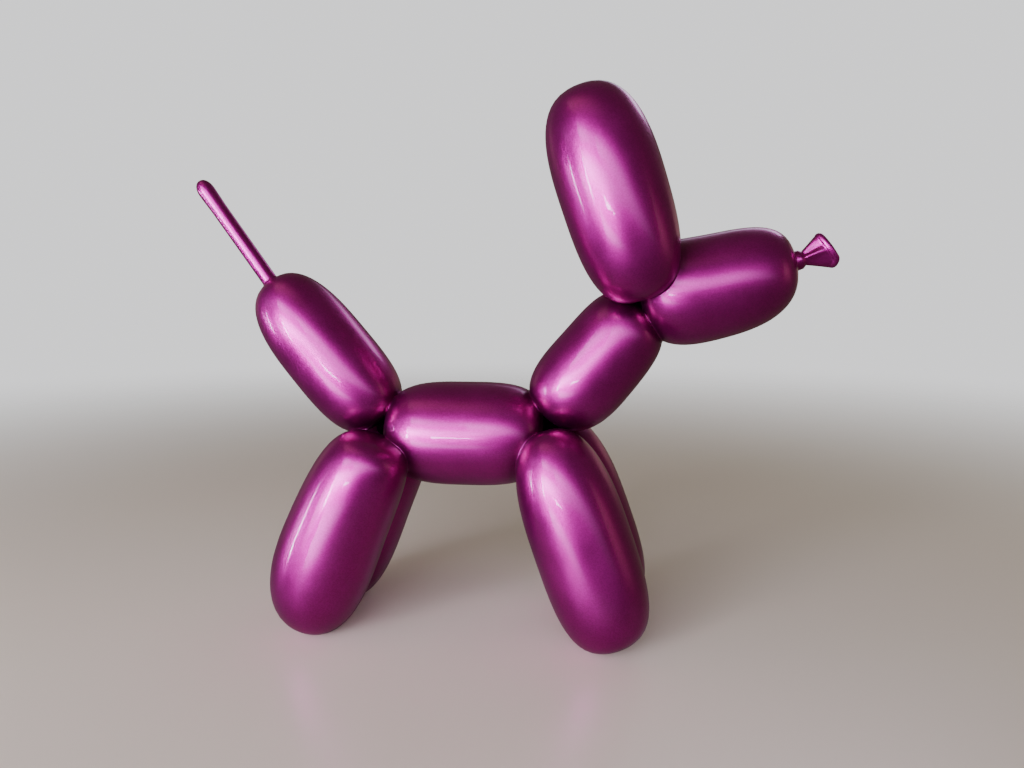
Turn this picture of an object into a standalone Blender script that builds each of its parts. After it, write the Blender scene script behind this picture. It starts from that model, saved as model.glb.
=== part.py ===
"""A balloon dog cast in one piece: ten bubbles, a thin tail nub and a knot at the nose.

+X is the way that the nose points, +Y is the dog's left side, and the four feet stand on z = 0.
Angles are in degrees above +X, as seen from the dog's right side.
"""
import math
from typing import NamedTuple

import bmesh
import bpy
from mathutils import Vector

# Lengths of the bubbles from pole to pole, in metres
BODY_LENGTH = 0.0784
NECK_LENGTH = 0.0684
TAIL_LENGTH = 0.0874
SNOUT_LENGTH = 0.0709
EAR_LENGTH = 0.0958
HIND_LEG_LENGTH = 0.1026

# Diameters of the bubbles at their middles
BODY_DIAMETER = 0.0505
NECK_DIAMETER = 0.0431
TAIL_DIAMETER = 0.0430
SNOUT_DIAMETER = 0.0480
EAR_DIAMETER = 0.0469
FORE_LEG_DIAMETER = 0.0463
HIND_LEG_DIAMETER = 0.0474

# Directions of the bubbles
BODY_PITCH = 0.3
NECK_PITCH = 50.2
TAIL_PITCH = 129.5
SNOUT_PITCH = 13.4
EAR_PITCH = 108.3
FORE_LEG_PITCH = -70.5
HIND_LEG_PITCH = -113.0

# How far the legs of a pair lean out of the middle plane on their way down
FORE_LEG_LEAN = 3.7
HIND_LEG_LEAN = -1.5

# The thin nub at the end of the tail, with a slightly fuller tip
NUB_LENGTH = 0.0600
NUB_DIAMETER = 0.0076
NUB_TIP_DIAMETER = 0.0082
NUB_PITCH = 125.2

# The knot at the nose: a collar, a pinched waist and a flat funnel with a rolled lip around a dished mouth
KNOT_LENGTH = 0.0184
KNOT_PITCH = 20.5
COLLAR_DIAMETER = 0.0086
WAIST_DIAMETER = 0.0066
MOUTH_HEIGHT = 0.0178
MOUTH_WIDTH = 0.0104
LIP_THICKNESS = 0.0026
MOUTH_TILT = 6.0

# Where the collar and the waist of the knot end, as shares of the knot's length
COLLAR_START = 0.06
COLLAR_END = 0.15
WAIST_START = 0.27
WAIST_END = 0.36

# How far the nub and the knot are rooted in their bubbles, as a share of their own diameters
ROOT_DEPTH = 0.6

# The ball of twisted skin where bubbles meet, and the depth of the flat ground on each foot
TWIST_DIAMETER = 0.0160
FOOT_FLAT_DEPTH = 0.0009

# How finely the round forms are faceted; the segments divide by four, so each ring has a point on its top,
# bottom and outermost sides
BUBBLE_SEGMENTS = 24
BUBBLE_RINGS = 16
SMALL_SEGMENTS = 16
SHARP_ANGLE = 35.0
MERGE_DISTANCE = 0.00002
REACHING_STEPS = 6


class Bubble(NamedTuple):
    """One balloon bubble: its shape values are shares of its own length and diameter."""
    length: float
    diameter: float
    pitch: float
    start: float            # how far its root pole lies from the twist, along its axis
    lift: float             # and across its axis, turned to the left of it
    root_fullness: float    # 2 is an ellipse, more is a fuller shoulder
    tip_fullness: float
    taper: float            # how much wider the tip half is than the middle
    bow: float              # how far both ends bend to the left of the axis
    press: float = 0.0      # distance between the middles of a pair over its diameter
    lean: float = 0.0


BODY = Bubble(BODY_LENGTH, BODY_DIAMETER, BODY_PITCH, 0.020, -0.045, 3.2, 3.4, 0.0, 0.006)
NECK = Bubble(NECK_LENGTH, NECK_DIAMETER, NECK_PITCH, 0.094, 0.066, 2.75, 3.9, -0.052, 0.034)
TAIL = Bubble(TAIL_LENGTH, TAIL_DIAMETER, TAIL_PITCH, 0.082, -0.029, 3.3, 2.7, -0.025, -0.006)
SNOUT = Bubble(SNOUT_LENGTH, SNOUT_DIAMETER, SNOUT_PITCH, -0.023, 0.017, 3.5, 3.0, -0.077, 0.078)
EAR = Bubble(EAR_LENGTH, EAR_DIAMETER, EAR_PITCH, 0.038, -0.033, 3.0, 2.7, 0.032, 0.010, 0.95)
HIND_LEG = Bubble(HIND_LEG_LENGTH, HIND_LEG_DIAMETER, HIND_LEG_PITCH, 0.0, 0.035, 4.2, 2.6, 0.105, 0.051,
                  0.95, HIND_LEG_LEAN)
# The forelegs start as long as the hind legs, and reaching_foreleg fits them to the height of the shoulders
FORE_LEG = Bubble(HIND_LEG_LENGTH, FORE_LEG_DIAMETER, FORE_LEG_PITCH, -0.037, 0.012, 2.6, 3.3, 0.0, -0.004,
                  0.905, FORE_LEG_LEAN)

# Where the next twist lies past the tip pole of the body and of the neck: along and across, over the diameter
SHOULDERS_PAST_BODY = (0.013, 0.065)
HEAD_PAST_NECK = (0.042, 0.043)


def clear_scene():
    for item in list(bpy.data.objects):
        bpy.data.objects.remove(item, do_unlink=True)


def heading(pitch, lean=0.0, side=0):
    """Unit vector of a direction; side is -1 on the dog's right, 1 on its left and 0 in the middle plane."""
    up = math.radians(pitch)
    out = math.radians(lean)
    return Vector((math.cos(up) * math.cos(out), side * math.sin(out), math.sin(up) * math.cos(out)))


def left_of(pitch):
    """Unit vector across a direction, in the dog's middle plane."""
    return heading(pitch + 90.0)


def middle_of(bubble, twist, side=0):
    """Centre of a bubble that grows from a twist."""
    run = bubble.start * bubble.diameter + bubble.length / 2
    point = twist + heading(bubble.pitch) * run
    point += left_of(bubble.pitch) * (bubble.lift * bubble.diameter)
    point.y += side * bubble.press * bubble.diameter / 2
    return point


def next_twist(bubble, twist, past):
    """The twist beyond the tip pole of a bubble."""
    tip = middle_of(bubble, twist) + heading(bubble.pitch) * (bubble.length / 2)
    along = heading(bubble.pitch) * (past[0] * bubble.diameter)
    across = left_of(bubble.pitch) * (past[1] * bubble.diameter)
    return tip + along + across


def bubble_spine(bubble, twist, share, side=0):
    """Point on the bowed middle line of a bubble; share is -1 at the root pole and 1 at the tip pole."""
    half = bubble.length / 2
    point = middle_of(bubble, twist, side)
    point += heading(bubble.pitch, bubble.lean, side) * (share * half)
    return point + left_of(bubble.pitch) * ((share * share - 1 / 3) * bubble.bow * half)


def ring_points(centre, axis, across, width, height, count):
    """An oval ring about an axis: height runs across, and width runs square to both."""
    beside = axis.cross(across).normalized()
    upright = beside.cross(axis).normalized()
    points = []
    for index in range(count):
        turn = 2 * math.pi * index / count
        points.append(centre + upright * (height * math.cos(turn)) + beside * (width * math.sin(turn)))
    return points


def bubble_rings(bubble, twist, side=0):
    """Rings of a bubble, and its two poles."""
    axis = heading(bubble.pitch, bubble.lean, side)
    across = left_of(bubble.pitch)
    rings = []
    for index in range(1, BUBBLE_RINGS):
        sweep = math.pi * index / BUBBLE_RINGS
        fullness = bubble.root_fullness if sweep < math.pi / 2 else bubble.tip_fullness
        share = -math.copysign(abs(math.cos(sweep)) ** (2 / fullness), math.cos(sweep))
        radius = bubble.diameter / 2 * math.sin(sweep) ** (2 / fullness) * (1 + bubble.taper * share)
        centre = bubble_spine(bubble, twist, share, side)
        rings.append(ring_points(centre, axis, across, radius, radius, BUBBLE_SEGMENTS))
    return rings, bubble_spine(bubble, twist, -1, side), bubble_spine(bubble, twist, 1, side)


def lowest(rings):
    return min(point.z for ring in rings for point in ring)


def skin(name, rings, first_pole, last_pole):
    """A closed mesh object through a row of rings, drawn together to a pole at each end."""
    mesh = bpy.data.meshes.new(name)
    work = bmesh.new()
    rows = [[work.verts.new(point) for point in ring] for ring in rings]
    ends = (work.verts.new(first_pole), work.verts.new(last_pole))
    count = len(rows[0])
    for index in range(count):
        after = (index + 1) % count
        for row, following in zip(rows, rows[1:]):
            work.faces.new((row[index], row[after], following[after], following[index]))
        work.faces.new((ends[0], rows[0][after], rows[0][index]))
        work.faces.new((ends[1], rows[-1][index], rows[-1][after]))
    bmesh.ops.recalc_face_normals(work, faces=work.faces)
    work.to_mesh(mesh)
    work.free()
    part = bpy.data.objects.new(name, mesh)
    bpy.context.collection.objects.link(part)
    return part


def make_bubble(name, bubble, twist, side=0):
    return skin(name, *bubble_rings(bubble, twist, side))


def make_ball(name, centre):
    """The small ball of twisted skin that joins the bubbles at a twist."""
    up = Vector((0, 0, TWIST_DIAMETER / 2))
    forward = Vector((1, 0, 0))
    rings = []
    steps = SMALL_SEGMENTS // 2
    for index in range(1, steps):
        sweep = math.pi * index / steps
        radius = TWIST_DIAMETER / 2 * math.sin(sweep)
        rings.append(ring_points(centre + up * math.cos(sweep), up, forward, radius, radius, SMALL_SEGMENTS))
    return skin(name, rings, centre + up, centre - up)


def make_nub(root):
    """The uninflated end of the balloon: a thin rod with a rounded, slightly fuller tip."""
    axis = heading(NUB_PITCH)
    across = left_of(NUB_PITCH)
    base = root - axis * (ROOT_DEPTH * NUB_DIAMETER)
    radius = NUB_DIAMETER / 2
    tip_radius = NUB_TIP_DIAMETER / 2
    tip_centre = root + axis * (NUB_LENGTH - tip_radius)
    places = [(base, radius), (tip_centre - axis * (2 * NUB_TIP_DIAMETER), radius)]
    steps = SMALL_SEGMENTS // 4
    for index in range(steps):
        sweep = math.pi / 2 * index / steps
        places.append((tip_centre + axis * (tip_radius * math.sin(sweep)), tip_radius * math.cos(sweep)))
    rings = [ring_points(centre, axis, across, size, size, SMALL_SEGMENTS) for centre, size in places]
    return skin("tail_nub", rings, base, tip_centre + axis * tip_radius)


def make_knot(root):
    """The tied mouth of the balloon: collar, waist, funnel, and a rolled lip around a dished mouth."""
    axis = heading(KNOT_PITCH)
    lip = LIP_THICKNESS / 2
    collar = COLLAR_DIAMETER / 2
    waist = WAIST_DIAMETER / 2
    height = MOUTH_HEIGHT / 2
    width = MOUTH_WIDTH / 2
    funnel = KNOT_LENGTH - 2 * lip
    # Each row is a place along the knot, half the width and half the height there, and its share of the tilt
    profile = (
        (-ROOT_DEPTH * COLLAR_DIAMETER, collar, collar, 0),
        (COLLAR_START * KNOT_LENGTH, collar, collar, 0),
        (COLLAR_END * KNOT_LENGTH, collar, collar, 0),
        (WAIST_START * KNOT_LENGTH, waist, waist, 0),
        (WAIST_END * KNOT_LENGTH, waist, waist, 0),
        ((WAIST_END * KNOT_LENGTH + funnel) / 2, (waist + width) / 2 - lip, (waist + height) / 2, 0.5),
        (funnel - lip, width - lip, height - lip, 1),
        (funnel, width, height, 1),
        (funnel + lip, width, height, 1),
        (KNOT_LENGTH, width - lip, height - lip, 1),
        (funnel + lip, width - 2 * lip, height - 2 * lip, 1),
    )
    rings = []
    for place, wide, high, tilt in profile:
        pitch = KNOT_PITCH + tilt * MOUTH_TILT
        centre = root + axis * place
        rings.append(ring_points(centre, heading(pitch), left_of(pitch), wide, high, SMALL_SEGMENTS))
    return skin("nose_knot", rings, root + axis * profile[0][0], root + axis * funnel)


def reaching_foreleg(shoulders):
    """The foreleg that is just long enough to set its foot level with the hind feet."""
    leg = FORE_LEG
    for _ in range(REACHING_STEPS):
        short = lowest(bubble_rings(leg, shoulders, 1)[0]) + FOOT_FLAT_DEPTH
        leg = leg._replace(length=leg.length + short / abs(heading(leg.pitch).z))
    return leg


def make_floor_block(pieces):
    """A block below z = 0, wide enough for every foot, that grinds the feet flat."""
    reach = 2 * max(vertex.co.length for piece in pieces for vertex in piece.data.vertices)
    mesh = bpy.data.meshes.new("floor_block")
    work = bmesh.new()
    bmesh.ops.create_cube(work, size=reach)
    bmesh.ops.translate(work, verts=work.verts, vec=(0, 0, -reach / 2))
    work.to_mesh(mesh)
    work.free()
    block = bpy.data.objects.new("floor_block", mesh)
    bpy.context.collection.objects.link(block)
    return block


def weld_slivers(mesh):
    """Merges the points that cuts leave almost on top of each other."""
    work = bmesh.new()
    work.from_mesh(mesh)
    bmesh.ops.remove_doubles(work, verts=work.verts, dist=MERGE_DISTANCE)
    bmesh.ops.dissolve_degenerate(work, edges=work.edges, dist=MERGE_DISTANCE)
    work.to_mesh(mesh)
    work.free()


def fuse(pieces, floor_block):
    """One closed casting out of all the pieces, with the feet cut flat."""
    casting = pieces[0]
    for piece in pieces[1:]:
        joint = casting.modifiers.new(piece.name, 'BOOLEAN')
        joint.operation = 'UNION'
        joint.solver = 'EXACT'
        joint.object = piece
    grind = casting.modifiers.new("foot_flats", 'BOOLEAN')
    grind.operation = 'DIFFERENCE'
    grind.solver = 'EXACT'
    grind.object = floor_block
    bpy.context.view_layer.update()
    view = bpy.context.evaluated_depsgraph_get()
    mesh = bpy.data.meshes.new_from_object(casting.evaluated_get(view))
    weld_slivers(mesh)
    dog = bpy.data.objects.new("balloon_dog", mesh)
    bpy.context.collection.objects.link(dog)
    for piece in pieces + [floor_block]:
        bpy.data.objects.remove(piece, do_unlink=True)
    return dog


def lacquer():
    material = bpy.data.materials.new("magenta_lacquer")
    material.use_nodes = True
    shader = material.node_tree.nodes["Principled BSDF"]
    shader.inputs["Base Color"].default_value = (0.45, 0.04, 0.25, 1)
    shader.inputs["Metallic"].default_value = 0.9
    shader.inputs["Roughness"].default_value = 0.35
    shader.inputs["Coat Weight"].default_value = 1.0
    return material


def centre_on_origin(dog):
    """Moves the mesh along X until its box is centred over the origin."""
    places = [vertex.co.x for vertex in dog.data.vertices]
    middle = (min(places) + max(places)) / 2
    for vertex in dog.data.vertices:
        vertex.co.x -= middle


def build():
    clear_scene()
    hips = Vector((0, 0, 0))
    hips.z = -lowest(bubble_rings(HIND_LEG, hips, 1)[0]) - FOOT_FLAT_DEPTH
    shoulders = next_twist(BODY, hips, SHOULDERS_PAST_BODY)
    head = next_twist(NECK, shoulders, HEAD_PAST_NECK)
    fore_leg = reaching_foreleg(shoulders)

    pieces = [
        make_bubble("body", BODY, hips),
        make_bubble("tail", TAIL, hips),
        make_bubble("neck", NECK, shoulders),
        make_bubble("snout", SNOUT, head),
    ]
    for side, word in ((-1, "right"), (1, "left")):
        pieces.append(make_bubble("hind_leg_" + word, HIND_LEG, hips, side))
        pieces.append(make_bubble("fore_leg_" + word, fore_leg, shoulders, side))
        pieces.append(make_bubble("ear_" + word, EAR, head, side))
    for name, twist in (("hips", hips), ("shoulders", shoulders), ("head", head)):
        pieces.append(make_ball(name, twist))
    pieces.append(make_nub(bubble_spine(TAIL, hips, 1)))
    pieces.append(make_knot(bubble_spine(SNOUT, head, 1)))

    dog = fuse(pieces, make_floor_block(pieces))
    centre_on_origin(dog)
    dog.data.shade_smooth()
    dog.data.set_sharp_from_angle(angle=math.radians(SHARP_ANGLE))
    dog.data.materials.clear()
    dog.data.materials.append(lacquer())


build()
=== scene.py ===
"""A balloon dog cast in one piece, in metallic magenta lacquer, on a pale floor.

Places are in the part's frame, in metres: +X the way that the nose points, +Y the dog's left side, z = 0 the
floor. Pitches are in degrees above +X, as seen from the dog's right side.
"""

import math
from typing import NamedTuple

import bmesh
import bpy
import numpy as np
from mathutils import Matrix, Quaternion, Vector


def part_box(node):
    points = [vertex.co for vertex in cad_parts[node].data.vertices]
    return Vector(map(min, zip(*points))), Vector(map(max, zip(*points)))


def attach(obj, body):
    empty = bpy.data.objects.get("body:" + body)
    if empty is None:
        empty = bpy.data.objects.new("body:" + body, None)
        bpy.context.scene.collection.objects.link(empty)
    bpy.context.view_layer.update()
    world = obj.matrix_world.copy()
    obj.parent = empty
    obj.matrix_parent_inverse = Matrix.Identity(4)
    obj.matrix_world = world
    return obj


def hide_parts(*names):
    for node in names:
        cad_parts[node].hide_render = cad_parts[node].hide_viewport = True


# Lengths of the bubbles from pole to pole, diameters at their middles, and directions
BODY_LENGTH = 0.0784
NECK_LENGTH = 0.0684
TAIL_LENGTH = 0.0874
SNOUT_LENGTH = 0.0709
EAR_LENGTH = 0.0958
HIND_LEG_LENGTH = 0.1026
BODY_DIAMETER = 0.0505
NECK_DIAMETER = 0.0431
TAIL_DIAMETER = 0.0430
SNOUT_DIAMETER = 0.0480
EAR_DIAMETER = 0.0469
FORE_LEG_DIAMETER = 0.0463
HIND_LEG_DIAMETER = 0.0474
BODY_PITCH = 0.3
NECK_PITCH = 50.2
TAIL_PITCH = 129.5
SNOUT_PITCH = 13.4
EAR_PITCH = 108.3
FORE_LEG_PITCH = -70.5
HIND_LEG_PITCH = -113.0
FORE_LEG_LEAN = 3.7
HIND_LEG_LEAN = -1.5
FOOT_FLAT_DEPTH = 0.0009
REACHING_STEPS = 6

# The thin nub at the end of the tail, with a bullet-shaped tip and a fillet at its foot
NUB_LENGTH = 0.0600
NUB_DIAMETER = 0.0076
NUB_TIP_DIAMETER = 0.0082
NUB_PITCH = 125.2
NUB_TIP_LENGTH = 0.0060
NUB_TIP_BLUNTNESS = 0.85    # less than 1 is blunter than an ellipse
NUB_WIDENING_LENGTH = 0.0120
NUB_SHAFT_START = 0.0040
NUB_FILLET = 0.0022
NUB_FILLET_SINK = 0.0007
NUB_ROOT_DEPTH = 0.0030

# The ball of twisted skin where bubbles meet
TWIST_DIAMETER = 0.0090

# How shut in the skin is, for a painted shade in the seams: each reach out from it with its share, and the
# sums where the painted shade starts and is full
RECESS_REACHES = ((0.0030, 0.30), (0.0070, 0.35), (0.0140, 0.35))
RECESS_START = 0.07
RECESS_FULL = 0.65

# A pit's painted shade is full within its size of a twist, and ends at its reach; the twist itself is painted
# dark all over
PIT_SIZE = 0.0080
PIT_REACH = 0.0135
TWIST_SHADE_EDGE = 0.25     # the share of a twist's diameter over which its own dark fades out

# The round floor, where it starts to fade, and its colour
FLOOR_RADIUS = 1.3
FLOOR_FADE_START = 0.28
FLOOR_SEGMENTS = 128
FLOOR_COLOUR = (0.94, 0.85, 0.66, 1)
FLOOR_ROUGHNESS = 0.28

# The floor as the dog reflects it: darker, as painted shade, and small, like a shelf with light coming from
# below its edge
SHELF_SHADE_COLOUR = (0.34, 0.29, 0.23, 1)
SHELF_FADE_START = 0.08
SHELF_END = 0.24

# The lacquer's base coat: its colours, the painted shade of its seams and pits, the fine flakes and how far
# they lean, and the clouds in it
LACQUER_DEEP = (0.34, 0.006, 0.186, 1)
LACQUER_BRIGHT = (0.52, 0.012, 0.30, 1)
RECESS_SHADE_COLOUR = (0.10, 0.001, 0.05, 1)
PIT_SHADE_COLOUR = (0.004, 0.0005, 0.002, 1)
RECESS_DARKNESS = 0.62
LACQUER_METALLIC = 0.95
FLAKES_PER_METRE = 2300.0
FLAKE_LEAN = 0.035
FLAKE_SHARE = 0.62          # of the mix between deep and bright; the clouds have the rest
CLOUDS_PER_METRE = 70.0
CLOUD_DETAIL = 3.0
CLOUD_LOW = 0.3
CLOUD_HIGH = 0.7
SMOOTHEST = 0.32            # the base coat's roughness where the clouds are thin
ROUGHEST = 0.37             # and where they are thick

# Its clear coat: how strong and how rough it is, where it ends in a pit, its orange peel and its dust nibs
COAT_WEIGHT = 0.45
COAT_ROUGHNESS = 0.035
COAT_FADE_START = 0.2
COAT_END = 0.7
PEEL_PER_METRE = 380.0
PEEL_HEIGHT = 0.000030
NIBS_PER_METRE = 105.0
NIB_SIZE = 0.035            # in cells
NIB_HEIGHT = 1.2            # in heights of the orange peel

# The light in which the dog stands, and the backdrop that the camera sees
ROOM_COLOUR = (0.11, 0.092, 0.068, 1)
BACKDROP_COLOUR = (1.15, 1.15, 1.17, 1)

# The camera: where it stands, how far it turns to its left and down, and its lens in millimetres
CAMERA_PLACE = (0.0498, -0.3644, 0.1691)
CAMERA_TURN = 7.264
CAMERA_DOWN = 7.687
CAMERA_SENSOR = 36.0
CAMERA_LENS = 27.04

# The lamps, each with its azimuth, elevation and roll, its width and height in degrees, its brightness and
# colour, and, where its edges aren't soft right from its middle, the share of each half that they take up
LAMP_DISTANCE = 1.15
LAMP_TARGET = (0.0, 0.0, 0.13)
DAYLIGHT = (1.0, 0.97, 1.24)
ROOM_LIGHT = (1.0, 0.88, 0.64)
WARM_LIGHT = (1.0, 0.80, 0.60)
LAMPS = (
    ("window_middle", -14.0, 7.0, 6.0, (58.0, 25.0), 14.0, DAYLIGHT),
    ("window_right", -5.0, 16.0, 7.0, (75.0, 32.0), 19.5, DAYLIGHT),
    ("window_low", -12.0, -12.0, 5.0, (50.0, 30.0), 13.0, DAYLIGHT),
    ("window_top", -10.0, 34.0, 4.0, (60.0, 36.0), 8.0, DAYLIGHT),
    ("window_left", -34.0, 2.0, 10.0, (45.0, 26.0), 9.0, DAYLIGHT),
    ("window_far_left", -62.0, 1.0, 8.0, (56.0, 28.0), 2.2, DAYLIGHT),
    ("glow_top", -16.0, 42.0, 8.0, (120.0, 62.0), 0.7, DAYLIGHT),
    ("glow_right", 37.0, 22.0, -10.0, (90.0, 50.0), 6.0, DAYLIGHT),
    ("gap_middle", -12.0, -1.0, 4.0, (15.0, 5.0), 70.0, DAYLIGHT, 0.5),
    ("gap_left", -42.0, 3.0, 0.0, (3.0, 22.0), 110.0, DAYLIGHT, 0.5),
    ("gap_far_left", -73.0, -1.0, 0.0, (3.0, 24.0), 80.0, DAYLIGHT, 0.5),
    ("room_left", -105.0, 15.0, 0.0, (44.0, 60.0), 0.3, ROOM_LIGHT),
    ("room_right", 92.0, 12.0, 0.0, (40.0, 50.0), 0.8, WARM_LIGHT),
    ("ceiling", 0.0, 80.0, 0.0, (80.0, 70.0), 0.78, ROOM_LIGHT),
    ("wall", 180.0, 16.0, 0.0, (100.0, 56.0), 0.4, ROOM_LIGHT),
    ("back_window", 176.0, 40.0, 0.0, (60.0, 28.0), 4.0, DAYLIGHT),
)

# How finely the skin is meshed: counts round and along, and the size of the lacquer's fillet in the seams
BUBBLE_SEGMENTS = 72
BUBBLE_RINGS = 46
SMALL_SEGMENTS = 40
KNOT_SEGMENTS = 96
PROFILE_STEPS = 600
SEAM_SOFTNESS = 0.00030
ON_SURFACE = 0.00012
MERGE_DISTANCE = 0.00004
SETTLING_STEPS = 4
LEAST_STEEPNESS = 0.25
LEAST_GIRTH = 0.3           # of the middle's, for places far past a bubble's poles
SAME_WAY = 0.5              # the cosine beyond which a mesh normal agrees with the exact one
STRAIGHT_DOWN = -0.99
TINY = 1e-9

# Where the seams are meshed finer: within this far of a seam, edges are at most this long across and along it
SEAM_BANDS = (
    (0.0040, 0.00120, 0.00200),
    (0.0024, 0.00065, 0.00150),
    (0.0014, 0.00035, 0.00120),
)


class Bubble(NamedTuple):
    """One balloon bubble: its shape values are shares of its own length and diameter."""
    length: float
    diameter: float
    pitch: float
    start: float            # how far its root pole lies from the twist, along its axis
    lift: float             # and across its axis, turned to the left of it
    root_fullness: float    # 2 is an ellipse, more is a fuller shoulder
    tip_fullness: float
    taper: float            # how much wider the tip half is than the middle
    bow: float              # how far both ends bend to the left of the axis
    press: float = 0.0      # distance between the middles of a pair over its diameter
    lean: float = 0.0
    swell: float = 0.0      # how far both ends of a pair's bubbles bend towards each other


BODY = Bubble(BODY_LENGTH, BODY_DIAMETER, BODY_PITCH, 0.020, -0.045, 3.2, 3.4, 0.0, 0.006)
NECK = Bubble(NECK_LENGTH, NECK_DIAMETER, NECK_PITCH, 0.094, 0.066, 2.75, 3.9, -0.052, 0.034)
TAIL = Bubble(TAIL_LENGTH, TAIL_DIAMETER, TAIL_PITCH, 0.082, -0.029, 3.3, 2.7, -0.025, -0.006)
SNOUT = Bubble(SNOUT_LENGTH, SNOUT_DIAMETER, SNOUT_PITCH, -0.023, 0.017, 3.5, 3.0, -0.077, 0.078)
EAR = Bubble(EAR_LENGTH, EAR_DIAMETER, EAR_PITCH, 0.038, -0.033, 3.0, 2.7, 0.032, 0.010, 0.95,
             swell=0.06)
HIND_LEG = Bubble(HIND_LEG_LENGTH, HIND_LEG_DIAMETER, HIND_LEG_PITCH, 0.0, 0.035, 4.2, 2.6, 0.105, 0.051,
                  0.95, HIND_LEG_LEAN)
FORE_LEG = Bubble(HIND_LEG_LENGTH, FORE_LEG_DIAMETER, FORE_LEG_PITCH, -0.037, 0.012, 2.6, 3.3, 0.0, -0.004,
                  0.905, FORE_LEG_LEAN)
TWIST = Bubble(TWIST_DIAMETER, TWIST_DIAMETER, 0.0, -0.5, 0.0, 2.0, 2.0, 0.0, 0.0)
SHOULDERS_PAST_BODY = (0.013, 0.065)
HEAD_PAST_NECK = (0.042, 0.043)


class Form(NamedTuple):
    """A bubble set in its place: its middle and its own three directions."""
    bubble: Bubble
    middle: np.ndarray
    axis: np.ndarray
    across: np.ndarray
    beside: np.ndarray
    side: int


def heading(pitch, lean=0.0, side=0):
    """Unit vector of a direction; side is -1 on the dog's right, 1 on its left and 0 in the middle plane."""
    up = math.radians(pitch)
    out = math.radians(lean)
    return np.array((math.cos(up) * math.cos(out), side * math.sin(out), math.sin(up) * math.cos(out)))


def left_of(pitch):
    """Unit vector across a direction, in the dog's middle plane."""
    return heading(pitch + 90.0)


def set_in_place(bubble, twist, side=0):
    """A bubble in its place at a twist; side is as for a heading."""
    run = bubble.start * bubble.diameter + bubble.length / 2
    middle = twist + heading(bubble.pitch) * run + left_of(bubble.pitch) * (bubble.lift * bubble.diameter)
    middle[1] += side * bubble.press * bubble.diameter / 2
    axis = heading(bubble.pitch, bubble.lean, side)
    across = left_of(bubble.pitch)
    return Form(bubble, middle, axis, across, np.cross(axis, across), side)


def next_twist(form, past):
    """The twist beyond the tip pole of a bubble."""
    bubble = form.bubble
    reach = bubble.length / 2 + past[0] * bubble.diameter
    return form.middle + form.axis * reach + form.across * (past[1] * bubble.diameter)


def spine(form, share):
    """Points on the bowed middle line; share runs from -1 at the root pole to 1 at the tip pole."""
    half = form.bubble.length / 2
    share = np.asarray(share, float)[..., None]
    bend = (share * share - 1 / 3) * form.bubble.bow * half
    inward = share * share * form.side * form.bubble.swell * half
    return form.middle + form.axis * (share * half) + form.across * bend + form.beside * inward


def even_profile(form, count):
    """Shares along the bubble and radii there, spaced evenly over its skin, without the poles."""
    bubble = form.bubble
    sweep = np.linspace(0, math.pi, PROFILE_STEPS)
    fullness = np.where(sweep < math.pi / 2, bubble.root_fullness, bubble.tip_fullness)
    share = -np.sign(np.cos(sweep)) * np.abs(np.cos(sweep)) ** (2 / fullness)
    radius = bubble.diameter / 2 * np.abs(np.sin(sweep)) ** (2 / fullness) * (1 + bubble.taper * share)
    steps = np.hypot(np.diff(share) * bubble.length / 2, np.diff(radius))
    travel = np.concatenate(([0], np.cumsum(steps)))
    stops = np.linspace(0, travel[-1], count + 1)[1:-1]
    return np.interp(stops, travel, share), np.interp(stops, travel, radius)


def underside(form):
    """The height of a bubble's lowest ring."""
    share, radius = even_profile(form, BUBBLE_RINGS)
    return (spine(form, share)[:, 2] - radius * math.hypot(form.across[2], form.beside[2])).min()


def ovals(centres, across, beside, heights, widths, count):
    """Rings of points: heights run across and widths run beside."""
    turn = 2 * math.pi * np.arange(count) / count
    tall = across[:, None, :] * (heights[:, None] * np.cos(turn))[..., None]
    wide = beside[:, None, :] * (widths[:, None] * np.sin(turn))[..., None]
    return centres[:, None, :] + tall + wide


def skin(name, rings, first_pole, last_pole):
    """A closed mesh object through a row of rings, drawn together to a pole at each end."""
    mesh = bpy.data.meshes.new(name)
    work = bmesh.new()
    rows = [[work.verts.new(point) for point in ring] for ring in rings]
    ends = (work.verts.new(first_pole), work.verts.new(last_pole))
    count = len(rows[0])
    for index in range(count):
        after = (index + 1) % count
        for row, following in zip(rows, rows[1:]):
            work.faces.new((row[index], row[after], following[after], following[index]))
        work.faces.new((ends[0], rows[0][after], rows[0][index]))
        work.faces.new((ends[1], rows[-1][index], rows[-1][after]))
    bmesh.ops.recalc_face_normals(work, faces=work.faces)
    work.to_mesh(mesh)
    work.free()
    piece = bpy.data.objects.new(name, mesh)
    bpy.context.scene.collection.objects.link(piece)
    return piece


def bubble_skin(name, form, segments, ring_count):
    """The closed skin of one bubble."""
    share, radius = even_profile(form, ring_count)
    centres = spine(form, share)
    across = np.tile(form.across, (len(share), 1))
    beside = np.tile(form.beside, (len(share), 1))
    rings = ovals(centres, across, beside, radius, radius, segments)
    return skin(name, rings, spine(form, -1), spine(form, 1))


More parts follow.
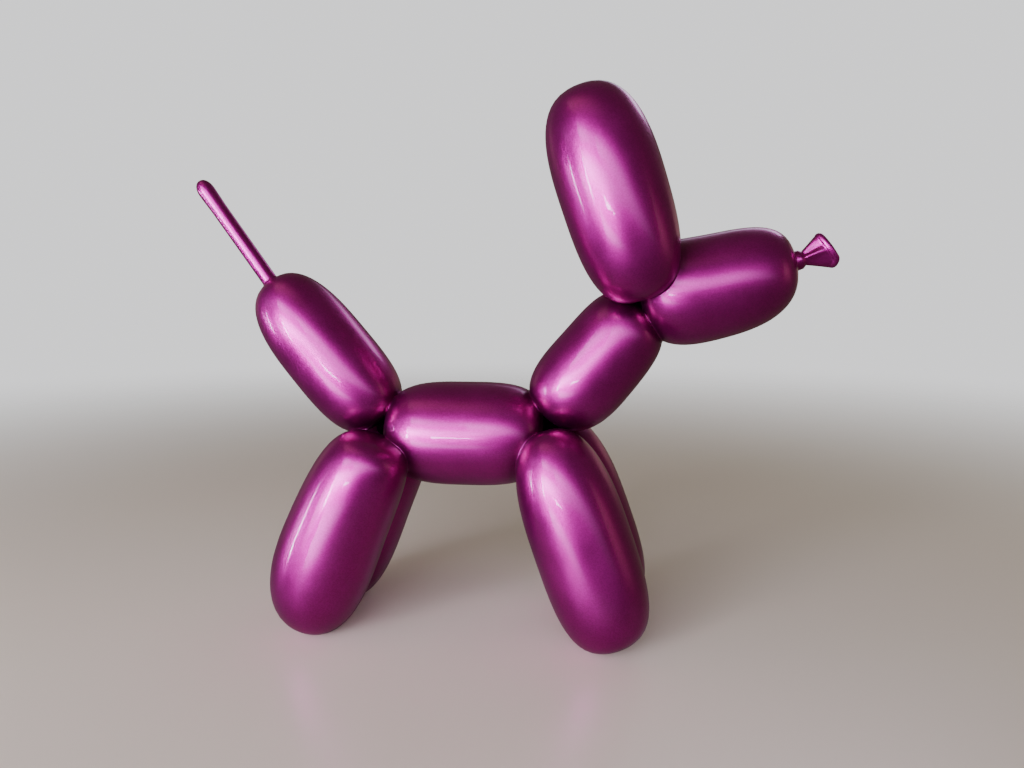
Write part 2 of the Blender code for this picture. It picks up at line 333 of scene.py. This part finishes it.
def nub_skin(root):
    """The uninflated end of the balloon: a thin rod with a fillet at its foot and a bullet-shaped tip."""
    radius = NUB_DIAMETER / 2
    tip_radius = NUB_TIP_DIAMETER / 2
    tip_start = NUB_LENGTH - NUB_TIP_LENGTH
    places = [(-NUB_ROOT_DEPTH, radius + NUB_FILLET)]
    for turn in np.radians(np.linspace(0, 90, 8)):
        rise = -NUB_FILLET_SINK + NUB_FILLET * (1 - math.cos(turn))
        places.append((rise, radius + NUB_FILLET * (1 - math.sin(turn))))
    for place in np.linspace(NUB_SHAFT_START, tip_start - NUB_WIDENING_LENGTH, 12):
        places.append((place, radius))
    for share in np.linspace(0.15, 1, 6):
        ease = share * share * (3 - 2 * share)
        along = tip_start - NUB_WIDENING_LENGTH * (1 - share)
        places.append((along, radius + (tip_radius - radius) * ease))
    for sweep in np.radians(np.linspace(0, 90, 12))[1:-1]:
        along = tip_start + NUB_TIP_LENGTH * math.sin(sweep)
        places.append((along, tip_radius * math.cos(sweep) ** NUB_TIP_BLUNTNESS))
    run, radii = np.array(places).T
    axis = heading(NUB_PITCH)
    across = np.tile(left_of(NUB_PITCH), (len(run), 1))
    beside = np.cross(axis, across)
    centres = root + axis * run[:, None]
    rings = ovals(centres, across, beside, radii, radii, SMALL_SEGMENTS)
    return skin("tail_nub", rings, root + axis * places[0][0], root + axis * NUB_LENGTH)


# The knot at the nose, from its root to its lip and back into its mouth, in millimetres: the place along it,
# half its height, half its width, the share of the mouth's tilt, and how deep the folds are
KNOT_PITCH = 20.5
MOUTH_TILT = 15.0
KNOT_ROWS = (
    (-3.0, 5.6, 5.6, 0.0, 0.0),
    (-0.6, 5.2, 5.2, 0.0, 0.0),
    (0.3, 4.45, 4.45, 0.0, 0.0),
    (1.4, 4.40, 4.40, 0.0, 0.0),
    (2.8, 4.30, 4.30, 0.0, 0.1),
    (3.6, 3.75, 3.75, 0.0, 0.2),
    (4.3, 3.35, 3.30, 0.0, 0.3),
    (5.2, 3.75, 3.35, 0.1, 0.7),
    (7.6, 4.95, 3.60, 0.3, 1.0),
    (10.0, 6.15, 3.85, 0.6, 1.0),
    (12.4, 7.30, 4.15, 0.9, 0.7),
    (13.7, 7.95, 4.30, 1.0, 0.4),
    (14.4, 8.45, 4.85, 1.0, 0.2),
    (15.3, 8.80, 5.20, 1.0, 0.1),
    (16.3, 8.65, 5.05, 1.0, 0.1),
    (16.9, 8.00, 4.40, 1.0, 0.1),
    (16.4, 7.25, 3.65, 1.0, 0.1),
    (15.4, 6.70, 3.10, 1.0, 0.2),
    (13.0, 5.20, 2.30, 0.9, 0.3),
    (9.8, 2.60, 1.20, 0.6, 0.2),
)
KNOT_POLE = 9.0
KNOT_SUBSTEPS = 4
MILLIMETRE = 0.001

# The folds of the knot's funnel: degrees down from its top edge, half the spread in degrees, and height
KNOT_FOLDS = (
    (84.0, 13.0, 0.00080),
    (58.0, 16.0, -0.00075),
    (28.0, 12.0, 0.00035),
    (124.0, 20.0, -0.00030),
)

# The lowest part of the lip is drawn back by this much, from this share of its half height down
LIP_DRAW_BACK = 0.0026
LIP_CORNER = 0.50


def eased(rows, steps):
    """Rows with smooth in-between rows, by a curve through all of them."""
    keys = np.array(rows, float)
    padded = np.vstack((2 * keys[0] - keys[1], keys, 2 * keys[-1] - keys[-2]))
    result = []
    for index in range(1, len(keys)):
        before, here, there, beyond = padded[index - 1:index + 3]
        for share in np.arange(steps) / steps:
            result.append(0.5 * (2 * here + (there - before) * share
                                 + (2 * before - 5 * here + 4 * there - beyond) * share ** 2
                                 + (3 * here - before - 3 * there + beyond) * share ** 3))
    result.append(keys[-1])
    return np.array(result)


def knot_skin(root):
    """The tied mouth of the balloon: collar, pinched waist, folded funnel and rolled lip."""
    rows = eased(KNOT_ROWS, KNOT_SUBSTEPS)
    place, height, width, tilt, depth = rows.T
    pitches = KNOT_PITCH + tilt * MOUTH_TILT
    axis = heading(KNOT_PITCH)
    across = np.array([left_of(pitch) for pitch in pitches])
    beside = np.tile(np.cross(axis, left_of(KNOT_PITCH)), (len(rows), 1))
    centres = root + axis * (place * MILLIMETRE)[:, None]
    rings = ovals(centres, across, beside, height * MILLIMETRE, width * MILLIMETRE, KNOT_SEGMENTS)

    turn = np.degrees(2 * math.pi * np.arange(KNOT_SEGMENTS) / KNOT_SEGMENTS)
    from_top = np.minimum(turn, 360 - turn)
    relief = np.zeros(KNOT_SEGMENTS)
    for middle, spread, rise in KNOT_FOLDS:
        relief += rise * np.exp(-((from_top - middle) / spread) ** 2)
    outward = rings - centres[:, None, :]
    outward /= np.linalg.norm(outward, axis=2, keepdims=True)
    rings = rings + outward * (depth[:, None] * relief)[..., None]

    low = np.clip((-np.cos(np.radians(turn)) - LIP_CORNER) / (1 - LIP_CORNER), 0.0, 1.0)
    drawn = tilt[:, None] ** 2 * (LIP_DRAW_BACK * low ** 2)
    rings = rings - axis * drawn[..., None]
    first_pole = root + axis * (KNOT_ROWS[0][0] * MILLIMETRE)
    return skin("nose_knot", rings, first_pole, root + axis * (KNOT_POLE * MILLIMETRE))


def survey(forms, points):
    """How far each point lies outside each form, and the way out there."""
    distances = np.empty((len(forms), len(points)))
    ways = np.empty((len(forms), len(points), 3))
    for row, form in enumerate(forms):
        bubble = form.bubble
        half = bubble.length / 2
        away = points - form.middle
        share = away @ form.axis / half
        up = away @ form.across - (share ** 2 - 1 / 3) * bubble.bow * half
        aside = away @ form.beside - share ** 2 * form.side * bubble.swell * half
        reach = np.maximum(np.hypot(up, aside), TINY)
        girth = bubble.diameter / 2 * np.maximum(1 + bubble.taper * share, LEAST_GIRTH)
        fullness = np.where(share < 0, bubble.root_fullness, bubble.tip_fullness)
        ratio = reach / girth
        level = np.maximum((np.abs(share) ** fullness + ratio ** fullness) ** (1 / fullness), TINY)
        by_share = level ** (1 - fullness) * np.abs(share) ** (fullness - 1) * np.sign(share)
        by_ratio = level ** (1 - fullness) * ratio ** (fullness - 1)
        share_way = form.axis / half
        up_way = form.across - 2 * share[:, None] * bubble.bow * form.axis
        aside_way = form.beside - 2 * share[:, None] * form.side * bubble.swell * form.axis
        reach_way = (up[:, None] * up_way + aside[:, None] * aside_way) / reach[:, None]
        ratio_way = reach_way / girth[:, None]
        ratio_way = ratio_way - (ratio / girth * bubble.diameter / 2 * bubble.taper)[:, None] * share_way
        way = by_share[:, None] * share_way + by_ratio[:, None] * ratio_way
        steep = np.maximum(np.linalg.norm(way, axis=1), TINY)
        distances[row] = (level - 1) / steep
        ways[row] = way / steep[:, None]
    return distances, ways


def lacquered(forms, points):
    """Distance from the lacquered skin, which fills the seams with a small fillet, and the way out."""
    distances, ways = survey(forms, points)
    nearest = distances.min(axis=0)
    weights = np.exp(-(distances - nearest) / SEAM_SOFTNESS)
    total = weights.sum(axis=0)
    slope = np.einsum("fp,fpk->pk", weights / total, ways)
    return nearest - SEAM_SOFTNESS * np.log(total), slope


def unit_ways(slope):
    """Unit vectors of the ways out."""
    return slope / np.maximum(np.linalg.norm(slope, axis=1), TINY)[:, None]


def coordinates(work):
    """The points of a bmesh."""
    return np.array([vertex.co[:] for vertex in work.verts])


def mesh_points(mesh):
    """The points of a mesh."""
    points = np.empty(len(mesh.vertices) * 3)
    mesh.vertices.foreach_get("co", points)
    return points.reshape(-1, 3)


def settle(work, forms):
    """Moves the points of the bubbles onto the lacquered skin."""
    points = coordinates(work)
    distances, _ = survey(forms, points)
    on_skin = (np.abs(distances).min(axis=0) < ON_SURFACE) & (points[:, 2] > MERGE_DISTANCE)
    moved = points[on_skin]
    for _ in range(SETTLING_STEPS):
        level, slope = lacquered(forms, moved)
        steep = np.maximum(np.linalg.norm(slope, axis=1), LEAST_STEEPNESS)
        moved = moved - slope * (level / steep ** 2)[:, None]
    for index, place in zip(np.nonzero(on_skin)[0], moved):
        work.verts[index].co = place


def refine_seams(work, forms):
    """Meshes the skin finer near the seams, and finest across them."""
    for band, across_limit, along_limit in SEAM_BANDS:
        work.verts.ensure_lookup_table()
        distances, _ = survey(forms, coordinates(work))
        beyond = np.sort(np.abs(distances), axis=0)[1]
        nearest = np.abs(distances).min(axis=0)
        work.verts.index_update()
        split = []
        for edge in work.edges:
            first, second = edge.verts[0].index, edge.verts[1].index
            off_seam = min(beyond[first], beyond[second]) > band
            if off_seam or max(nearest[first], nearest[second]) > ON_SURFACE:
                continue
            across = abs(beyond[first] - beyond[second])
            if across > across_limit or edge.calc_length() > along_limit:
                split.append(edge)
        bmesh.ops.subdivide_edges(work, edges=split, cuts=1)
        bmesh.ops.triangulate(work, faces=[face for face in work.faces if len(face.verts) > 3])


def set_normals(mesh, forms):
    """Gives the bubbles the exact direction of their skin, and leaves the foot flats flat."""
    level, slope = lacquered(forms, mesh_points(mesh))
    exact = unit_ways(slope)
    normals = np.array([vertex.normal[:] for vertex in mesh.vertices])
    on_skin = (np.abs(level) < ON_SURFACE) & (np.einsum("pk,pk->p", exact, normals) > SAME_WAY)
    normals[on_skin] = exact[on_skin]
    corners = np.empty(len(mesh.loops), dtype=np.int64)
    mesh.loops.foreach_get("vertex_index", corners)
    corner_normals = normals[corners]
    for face in mesh.polygons:
        if face.normal.z < STRAIGHT_DOWN and face.center.z < MERGE_DISTANCE:
            corner_normals[face.loop_start:face.loop_start + face.loop_total] = (0, 0, -1)
    mesh.shade_smooth()
    mesh.normals_split_custom_set(corner_normals.tolist())


def fit_in_box(places, low, high):
    """Sets the points on the box's bottom, with the nub's tip at its end.

    What would reach past the box's sides is drawn in.
    """
    found_low, found_high = places.min(axis=0), places.max(axis=0)
    shrink = np.minimum(1.0, (high - low) / (found_high - found_low))
    places -= (found_low + found_high) / 2
    places *= shrink
    places += (low + high) / 2
    for direction in (0, 2):
        places[:, direction] += low[direction] - places[:, direction].min()


def mark_painted_shade(mesh, forms, twists):
    """Stores painted shade: how shut in the skin is by its neighbours, and how deep it lies in the pit round
    a twist.
    """
    points = mesh_points(mesh)
    _, slope = lacquered(forms, points)
    out = unit_ways(slope)
    shut = np.zeros(len(points))
    for reach, share in RECESS_REACHES:
        distances, _ = survey(forms, points + out * reach)
        shut += share * np.clip((reach - distances.min(axis=0)) / reach, 0.0, 1.0)
    recess_shade = np.clip((shut - RECESS_START) / (RECESS_FULL - RECESS_START), 0.0, 1.0)
    away = np.min([np.linalg.norm(points - twist, axis=1) for twist in twists], axis=0)
    near = np.clip((PIT_REACH - away) / (PIT_REACH - PIT_SIZE), 0.0, 1.0)
    core = np.clip((TWIST_DIAMETER - away) / (TWIST_DIAMETER * TWIST_SHADE_EDGE), 0.0, 1.0)
    for name, values in (("recess_shade", recess_shade), ("pit_shade", np.maximum(recess_shade * near, core))):
        stored = mesh.attributes.new(name, 'FLOAT', 'POINT')
        stored.data.foreach_set("value", values.astype(np.float32))


def pose():
    """The bubbles in their places, by name, and the three twists, with the feet on the floor."""
    hips = np.zeros(3)
    hips[2] = -underside(set_in_place(HIND_LEG, hips, 1)) - FOOT_FLAT_DEPTH
    body = set_in_place(BODY, hips)
    shoulders = next_twist(body, SHOULDERS_PAST_BODY)
    neck = set_in_place(NECK, shoulders)
    head = next_twist(neck, HEAD_PAST_NECK)
    fore_leg = FORE_LEG
    for _ in range(REACHING_STEPS):
        short = underside(set_in_place(fore_leg, shoulders, 1)) + FOOT_FLAT_DEPTH
        fore_leg = fore_leg._replace(length=fore_leg.length + short / abs(heading(fore_leg.pitch)[2]))
    tail = set_in_place(TAIL, hips)
    snout = set_in_place(SNOUT, head)
    forms = {"body": body, "neck": neck, "tail": tail, "snout": snout}
    for side, word in ((-1, "right"), (1, "left")):
        forms["hind_leg_" + word] = set_in_place(HIND_LEG, hips, side)
        forms["fore_leg_" + word] = set_in_place(fore_leg, shoulders, side)
        forms["ear_" + word] = set_in_place(EAR, head, side)
    return forms, {"hips": hips, "shoulders": shoulders, "head": head}


def joined(pieces):
    """One mesh from closed skins that overlap, which are then removed."""
    casting = pieces[0]
    for piece in pieces[1:]:
        joint = casting.modifiers.new(piece.name, 'BOOLEAN')
        joint.operation = 'UNION'
        joint.solver = 'EXACT'
        joint.object = piece
    bpy.context.view_layer.update()
    view = bpy.context.evaluated_depsgraph_get()
    mesh = bpy.data.meshes.new_from_object(casting.evaluated_get(view))
    for piece in pieces:
        bpy.data.objects.remove(piece, do_unlink=True)
    return mesh


def cast_dog(box):
    """The whole figure as one closed mesh, inside the box of the solid part."""
    forms, twists = pose()
    pieces = [bubble_skin(name, form, BUBBLE_SEGMENTS, BUBBLE_RINGS) for name, form in forms.items()]
    tail_end = spine(forms["tail"], 1)
    snout_end = spine(forms["snout"], 1)
    for name, place in twists.items():
        forms[name] = set_in_place(TWIST, place)
        pieces.append(bubble_skin(name, forms[name], SMALL_SEGMENTS, SMALL_SEGMENTS // 2))
    pieces.append(nub_skin(tail_end))
    pieces.append(knot_skin(snout_end))
    mesh = joined(pieces)

    work = bmesh.new()
    work.from_mesh(mesh)
    everything = work.verts[:] + work.edges[:] + work.faces[:]
    bmesh.ops.bisect_plane(work, geom=everything, plane_co=(0, 0, 0), plane_no=(0, 0, 1), clear_inner=True)
    bmesh.ops.holes_fill(work, edges=[edge for edge in work.edges if edge.is_boundary], sides=0)
    bmesh.ops.remove_doubles(work, verts=work.verts, dist=MERGE_DISTANCE)
    bmesh.ops.dissolve_degenerate(work, edges=work.edges, dist=MERGE_DISTANCE)
    bmesh.ops.triangulate(work, faces=work.faces)
    forms = list(forms.values())
    refine_seams(work, forms)
    work.verts.ensure_lookup_table()
    settle(work, forms)
    work.to_mesh(mesh)
    work.free()
    set_normals(mesh, forms)
    mark_painted_shade(mesh, forms, list(twists.values()))

    places = mesh_points(mesh)
    fit_in_box(places, np.array(box[0]), np.array(box[1]))
    mesh.vertices.foreach_set("co", places.ravel())
    dog = bpy.data.objects.new("lacquered_dog", mesh)
    bpy.context.scene.collection.objects.link(dog)
    return dog


class Wiring:
    """Adds nodes to a node tree and links them."""

    def __init__(self, tree):
        self.tree = tree

    def add(self, kind, **settings):
        """A new shader node with these settings."""
        made = self.tree.nodes.new("ShaderNode" + kind)
        for name, value in settings.items():
            setattr(made, name, value)
        return made

    def plug(self, socket, value):
        """Sets one input: from another node's output, or to a plain value."""
        if isinstance(value, bpy.types.NodeSocket):
            self.tree.links.new(value, socket)
        else:
            socket.default_value = value

    def feed(self, node, **values):
        """Sets a node's inputs by name, with _ for a space."""
        for name, value in values.items():
            self.plug(node.inputs[name.replace("_", " ")], value)

    def math(self, operation, *values):
        """The outcome of a Math node."""
        made = self.add("Math", operation=operation)
        for socket, value in zip(made.inputs, values):
            self.plug(socket, value)
        return made.outputs[0]

    def vector(self, operation, *values):
        """The outcome of a Vector Math node that gives a vector."""
        made = self.add("VectorMath", operation=operation)
        for socket, value in zip(made.inputs, values):
            self.plug(socket, value)
        return made.outputs["Vector"]

    def ramp(self, value, low, high, start=0.0, end=1.0):
        """A smooth step of a value from start, at low, to end, at high."""
        made = self.add("MapRange", interpolation_type='SMOOTHSTEP')
        self.feed(made, Value=value, From_Min=low, From_Max=high, To_Min=start, To_Max=end)
        return made.outputs["Result"]

    def blend(self, share, first, second):
        """A colour between two, by share."""
        made = self.add("Mix", data_type='RGBA')
        sockets = [socket for socket in made.inputs if socket.enabled]
        for socket, value in zip(sockets, (share, first, second)):
            self.plug(socket, value)
        return [socket for socket in made.outputs if socket.enabled][0]


def lacquer():
    """Magenta base coat full of fine metal flake, under a clear coat with a slight orange peel."""
    material = bpy.data.materials.new("magenta_lacquer")
    material.use_nodes = True
    wiring = Wiring(material.node_tree)
    shader = material.node_tree.nodes["Principled BSDF"]
    place = wiring.add("TexCoord").outputs["Object"]

    flake = wiring.add("TexVoronoi")
    wiring.feed(flake, Vector=place, Scale=FLAKES_PER_METRE)
    glint = wiring.add("SeparateColor")
    wiring.feed(glint, Color=flake.outputs["Color"])
    clouds = wiring.add("TexNoise")
    wiring.feed(clouds, Vector=place, Scale=CLOUDS_PER_METRE, Detail=CLOUD_DETAIL)
    cloud = clouds.outputs["Fac"]
    # Painted shade, stored on the mesh: darker in the shut-in seams, near black in the pits round the twists
    recess_shade = wiring.add("Attribute", attribute_name="recess_shade").outputs["Fac"]
    pit_shade = wiring.add("Attribute", attribute_name="pit_shade").outputs["Fac"]

    depth = wiring.math('ADD', wiring.math('MULTIPLY', glint.outputs["Red"], FLAKE_SHARE),
                        wiring.math('MULTIPLY', cloud, 1 - FLAKE_SHARE))
    colour = wiring.blend(depth, LACQUER_DEEP, LACQUER_BRIGHT)
    shaded = wiring.blend(wiring.math('MULTIPLY', recess_shade, RECESS_DARKNESS), colour, RECESS_SHADE_COLOUR)
    satin = wiring.ramp(cloud, CLOUD_LOW, CLOUD_HIGH, SMOOTHEST, ROUGHEST)
    lean = wiring.vector('MULTIPLY_ADD', flake.outputs["Color"], (FLAKE_LEAN,) * 3, (-FLAKE_LEAN / 2,) * 3)
    skin_way = wiring.add("NewGeometry").outputs["Normal"]
    flake_way = wiring.vector('NORMALIZE', wiring.vector('ADD', skin_way, lean))
    # Painted shade in the pits: a near-black base colour, and the roughest base there
    wiring.feed(shader, Base_Color=wiring.blend(pit_shade, shaded, PIT_SHADE_COLOUR), Metallic=LACQUER_METALLIC,
                Roughness=wiring.math('MAXIMUM', satin, pit_shade), Normal=flake_way)

    peel = wiring.add("TexNoise")
    wiring.feed(peel, Vector=place, Scale=PEEL_PER_METRE, Detail=1.0)
    nibs = wiring.add("TexVoronoi")
    wiring.feed(nibs, Vector=place, Scale=NIBS_PER_METRE)
    bead = wiring.ramp(nibs.outputs["Distance"], 0.0, NIB_SIZE, NIB_HEIGHT, 0.0)
    relief = wiring.add("Bump")
    wiring.feed(relief, Strength=1.0, Distance=PEEL_HEIGHT,
                Height=wiring.math('ADD', peel.outputs["Fac"], bead))
    wiring.feed(shader, Coat_Weight=wiring.ramp(pit_shade, COAT_FADE_START, COAT_END, COAT_WEIGHT, 0.0),
                Coat_Roughness=COAT_ROUGHNESS, Coat_Normal=relief.outputs["Normal"])
    return material


def floor_material():
    """Pale satin board that fades out towards its edge, and sooner, and darker with painted shade, in what
    the dog reflects of it.
    """
    material = bpy.data.materials.new("pale_floor")
    material.use_nodes = True
    wiring = Wiring(material.node_tree)
    shader = material.node_tree.nodes["Principled BSDF"]
    seen = wiring.add("LightPath").outputs["Is Camera Ray"]
    measure = wiring.add("VectorMath", operation='LENGTH')
    wiring.feed(measure, Vector=wiring.add("TexCoord").outputs["Object"])
    distance = measure.outputs["Value"]
    board = wiring.ramp(distance, FLOOR_FADE_START, FLOOR_RADIUS, 1.0, 0.0)
    shelf = wiring.ramp(distance, SHELF_FADE_START, SHELF_END, 1.0, 0.0)
    # Painted shade: the floor is darker where the dog reflects it than where the camera sees it
    wiring.feed(shader, Base_Color=wiring.blend(seen, SHELF_SHADE_COLOUR, FLOOR_COLOUR),
                Roughness=FLOOR_ROUGHNESS,
                Alpha=wiring.math('MAXIMUM', shelf, wiring.math('MULTIPLY', seen, board)))
    return material


def make_floor():
    """The round floor."""
    mesh = bpy.data.meshes.new("floor")
    work = bmesh.new()
    bmesh.ops.create_circle(work, cap_ends=True, segments=FLOOR_SEGMENTS, radius=FLOOR_RADIUS)
    work.to_mesh(mesh)
    work.free()
    floor = bpy.data.objects.new("floor", mesh)
    bpy.context.scene.collection.objects.link(floor)
    floor.data.materials.append(floor_material())


def softbox(name, azimuth, elevation, roll, spread, brightness, colour, edge=1.0):
    """A lamp with soft edges that faces the middle of the dog; spread is its width and height in degrees.

    Azimuth is measured from the dog's right side towards its nose, and edge is the share of each half over
    which the lamp fades.
    """
    size = [2 * LAMP_DISTANCE * math.tan(math.radians(angle) / 2) for angle in spread]
    lamp = bpy.data.lights.new(name, 'AREA')
    lamp.shape = 'RECTANGLE'
    lamp.size, lamp.size_y = size
    lamp.energy = brightness * math.pi * size[0] * size[1]
    lamp.color = colour
    lamp.use_nodes = True
    wiring = Wiring(lamp.node_tree)
    parts = wiring.add("SeparateXYZ")
    wiring.feed(parts, Vector=wiring.add("NewGeometry").outputs["Parametric"])
    along = parts.outputs["Y"]
    upward = wiring.math('SUBTRACT', wiring.math('SUBTRACT', 1.0, parts.outputs["X"]), along)
    fades = []
    for share in (along, upward):
        off_middle = wiring.math('ABSOLUTE', wiring.math('SUBTRACT', share, 0.5))
        fades.append(wiring.ramp(off_middle, 0.5 * (1 - edge), 0.5, 1.0, 0.0))
    glow = lamp.node_tree.nodes["Emission"]
    wiring.feed(glow, Strength=wiring.math('MULTIPLY', *fades))
    holder = bpy.data.objects.new(name, lamp)
    turn = math.radians(azimuth)
    rise = math.radians(elevation)
    away = Vector((math.sin(turn) * math.cos(rise), -math.cos(turn) * math.cos(rise), math.sin(rise)))
    holder.location = Vector(LAMP_TARGET) + away * LAMP_DISTANCE
    facing = away.to_track_quat('Z', 'Y')
    holder.rotation_euler = (facing @ Quaternion((0, 0, 1), math.radians(roll))).to_euler()
    holder.visible_camera = False
    bpy.context.scene.collection.objects.link(holder)


def make_world():
    """A dim warm room round the dog, and a pale backdrop behind it."""
    world = bpy.data.worlds.new("studio")
    bpy.context.scene.world = world
    world.use_nodes = True
    wiring = Wiring(world.node_tree)
    room = world.node_tree.nodes["Background"]
    wiring.feed(room, Color=ROOM_COLOUR)
    backdrop = wiring.add("Background")
    wiring.feed(backdrop, Color=BACKDROP_COLOUR)
    seen = wiring.add("LightPath").outputs["Is Camera Ray"]
    mix = wiring.add("MixShader")
    for socket, source in zip(mix.inputs, (seen, room.outputs[0], backdrop.outputs[0])):
        wiring.plug(socket, source)
    wiring.feed(world.node_tree.nodes["World Output"], Surface=mix.outputs[0])


def make_camera():
    """The camera of the photo."""
    lens = bpy.data.cameras.new("camera")
    lens.sensor_width = CAMERA_SENSOR
    lens.lens = CAMERA_LENS
    camera = bpy.data.objects.new("camera", lens)
    turn = math.radians(CAMERA_TURN)
    down = math.radians(CAMERA_DOWN)
    back = Vector((math.sin(turn) * math.cos(down), -math.cos(turn) * math.cos(down), math.sin(down)))
    right = Vector((math.cos(turn), math.sin(turn), 0.0))
    facing = Matrix((right, back.cross(right), back)).transposed()
    camera.matrix_world = Matrix.Translation(CAMERA_PLACE) @ facing.to_4x4()
    bpy.context.scene.collection.objects.link(camera)
    bpy.context.scene.camera = camera


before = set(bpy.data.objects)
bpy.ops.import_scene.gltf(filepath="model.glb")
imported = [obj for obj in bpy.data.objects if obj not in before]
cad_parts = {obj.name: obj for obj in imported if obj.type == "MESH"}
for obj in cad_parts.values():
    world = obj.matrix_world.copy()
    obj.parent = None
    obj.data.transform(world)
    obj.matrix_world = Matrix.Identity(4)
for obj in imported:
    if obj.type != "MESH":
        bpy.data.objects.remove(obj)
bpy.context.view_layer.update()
dog = cast_dog(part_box("balloon_dog"))
dog.data.materials.clear()
dog.data.materials.append(lacquer())
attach(dog, "root")
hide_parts("balloon_dog")
make_floor()
make_world()
for lamp in LAMPS:
    softbox(*lamp)
make_camera()
